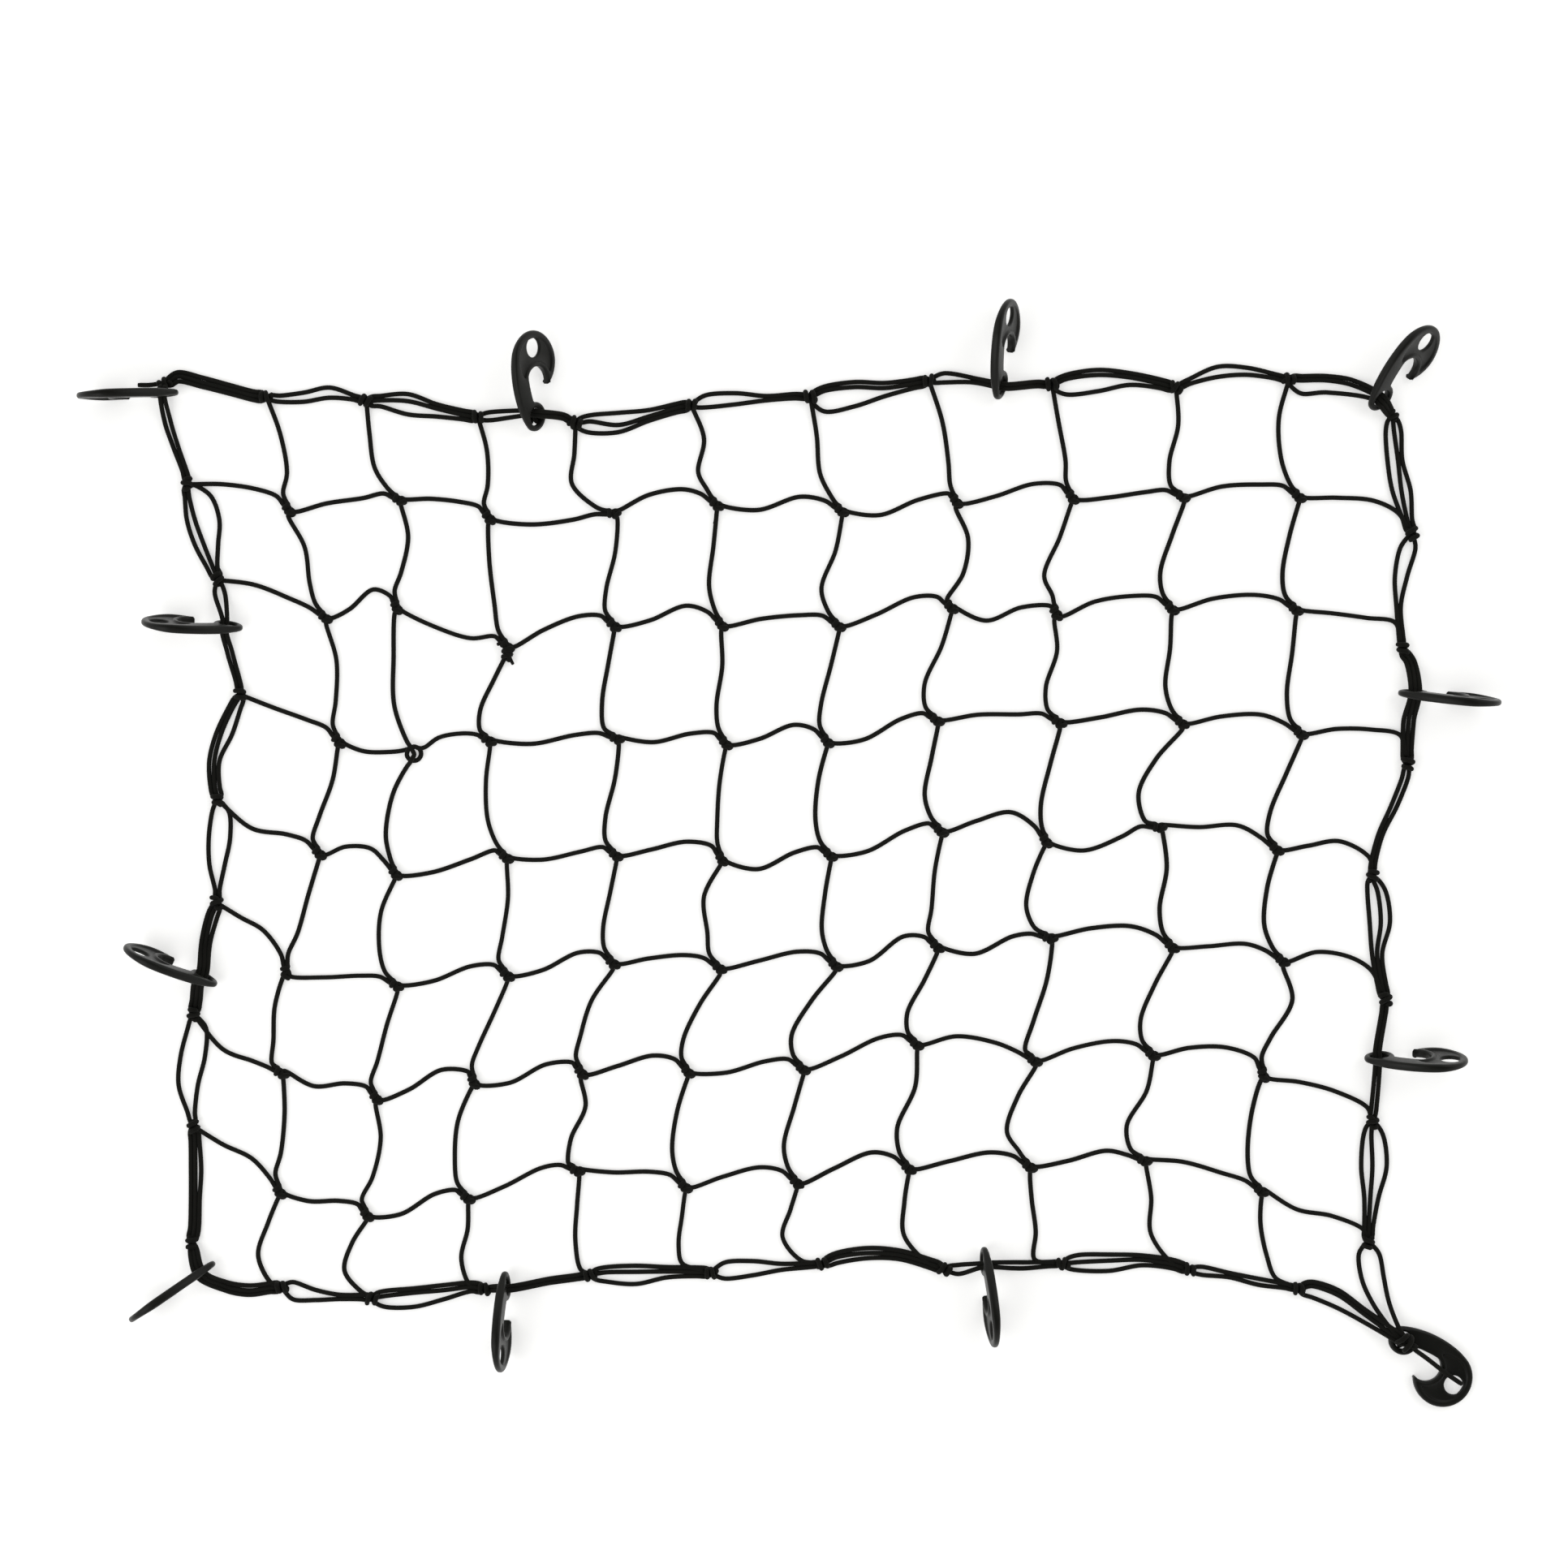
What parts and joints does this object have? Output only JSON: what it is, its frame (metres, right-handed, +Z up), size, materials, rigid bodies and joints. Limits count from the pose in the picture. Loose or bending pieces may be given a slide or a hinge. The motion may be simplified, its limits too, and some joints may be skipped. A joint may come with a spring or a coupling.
{
  "type": "cargo net",
  "caption": "Knotted elastic cord cargo net lying flat, with a doubled and tripled cord rim and moulded plastic hooks threaded round it.",
  "frame": {"origin": "middle of the whole outline, on the floor the net lies on", "axes": "+X along the net's long side, to the right in the picture; +Y across it, up in the picture; +Z up out of the floor"},
  "size_m": [1.3824, 1.0848, 0.0587],
  "materials": {
    "cord": "matt braided sheath",
    "hook_plastic": "satin moulded"
  },
  "bodies": {
    "root": {"net_mesh": "cord", "rim_cords": "cord", "hook_01": "hook_plastic", "hook_02": "hook_plastic", "hook_03": "hook_plastic", "hook_04": "hook_plastic", "hook_05": "hook_plastic", "hook_06": "hook_plastic", "hook_07": "hook_plastic", "hook_08": "hook_plastic", "hook_09": "hook_plastic", "hook_10": "hook_plastic", "hook_11": "hook_plastic", "hook_12": "hook_plastic"}
  },
  "joints": []
}
